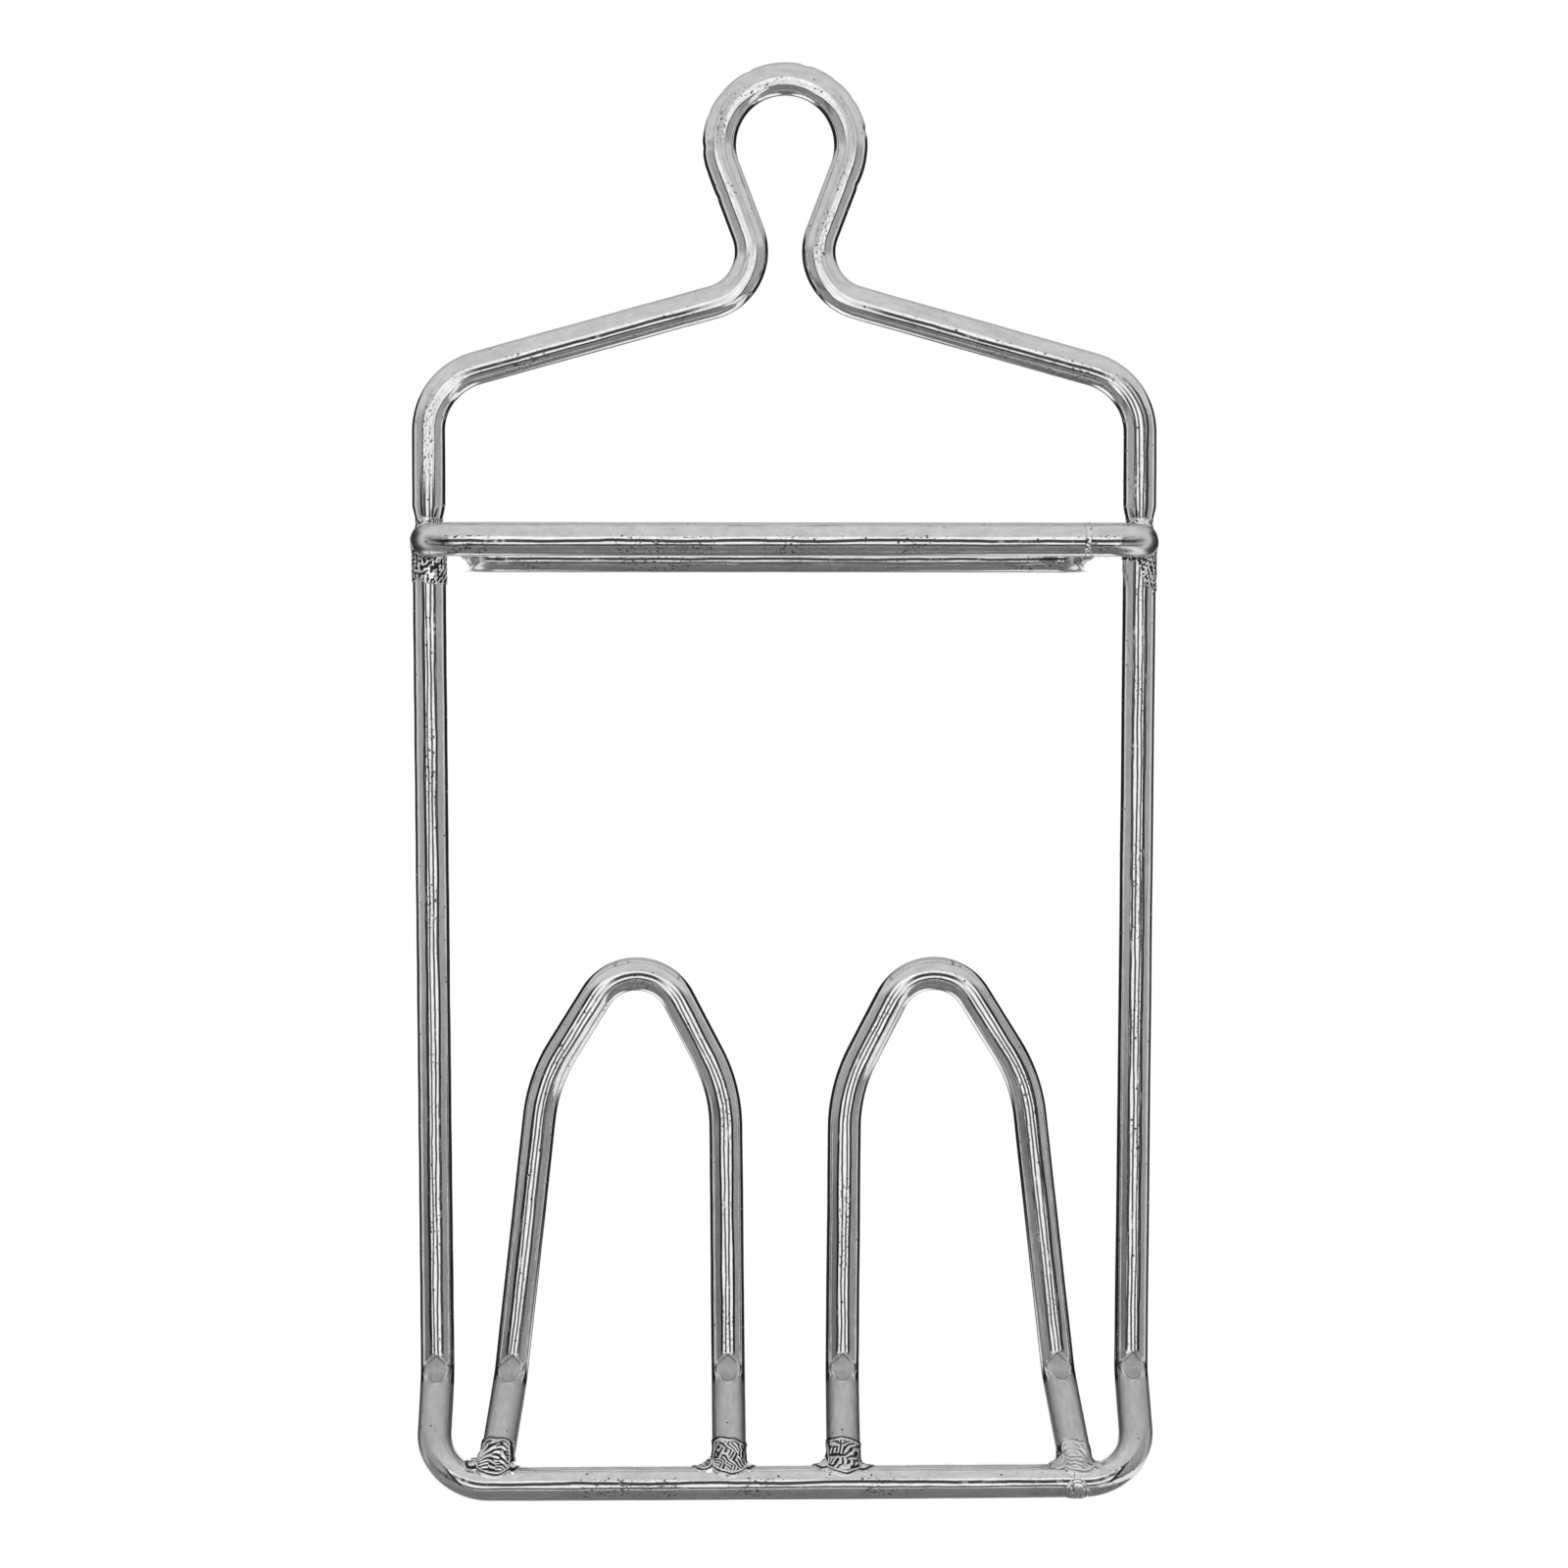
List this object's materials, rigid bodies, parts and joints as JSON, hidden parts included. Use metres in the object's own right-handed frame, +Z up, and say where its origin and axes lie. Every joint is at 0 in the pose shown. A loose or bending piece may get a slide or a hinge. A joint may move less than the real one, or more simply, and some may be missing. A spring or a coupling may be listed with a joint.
{
  "type": "plastic bag holder",
  "caption": "Hanging wire rack for carrier bags: hanger with an eye, stand-off loop at right angles, tall frame, and arched prongs on a bottom bar bent forward.",
  "frame": {"origin": "centre of the hanging eye, in the plane of the upright wires", "axes": "+Z up along the uprights towards the eye, +X to the right, front of the rack towards -Y, stand-off loop towards +Y"},
  "size_m": [0.1328, 0.0949, 0.2522],
  "materials": {
    "plated_wire": "bright plated, drawn wire",
    "weld_bead": "as welded, rippled, plated over"
  },
  "bodies": {
    "root": {"hanger_wire": "plated_wire", "standoff_loop": "plated_wire", "left_frame_wire": "plated_wire", "right_frame_wire": "plated_wire", "left_prong": "plated_wire", "right_prong": "plated_wire", "hanger_weld_left": "weld_bead", "hanger_weld_right": "weld_bead", "frame_weld_left": "weld_bead", "frame_weld_right": "weld_bead", "left_prong_outer_weld": "weld_bead", "left_prong_inner_weld": "weld_bead", "right_prong_inner_weld": "weld_bead", "right_prong_outer_weld": "weld_bead", "loop_seam_weld": "weld_bead", "bar_seam_weld": "weld_bead"}
  },
  "joints": []
}
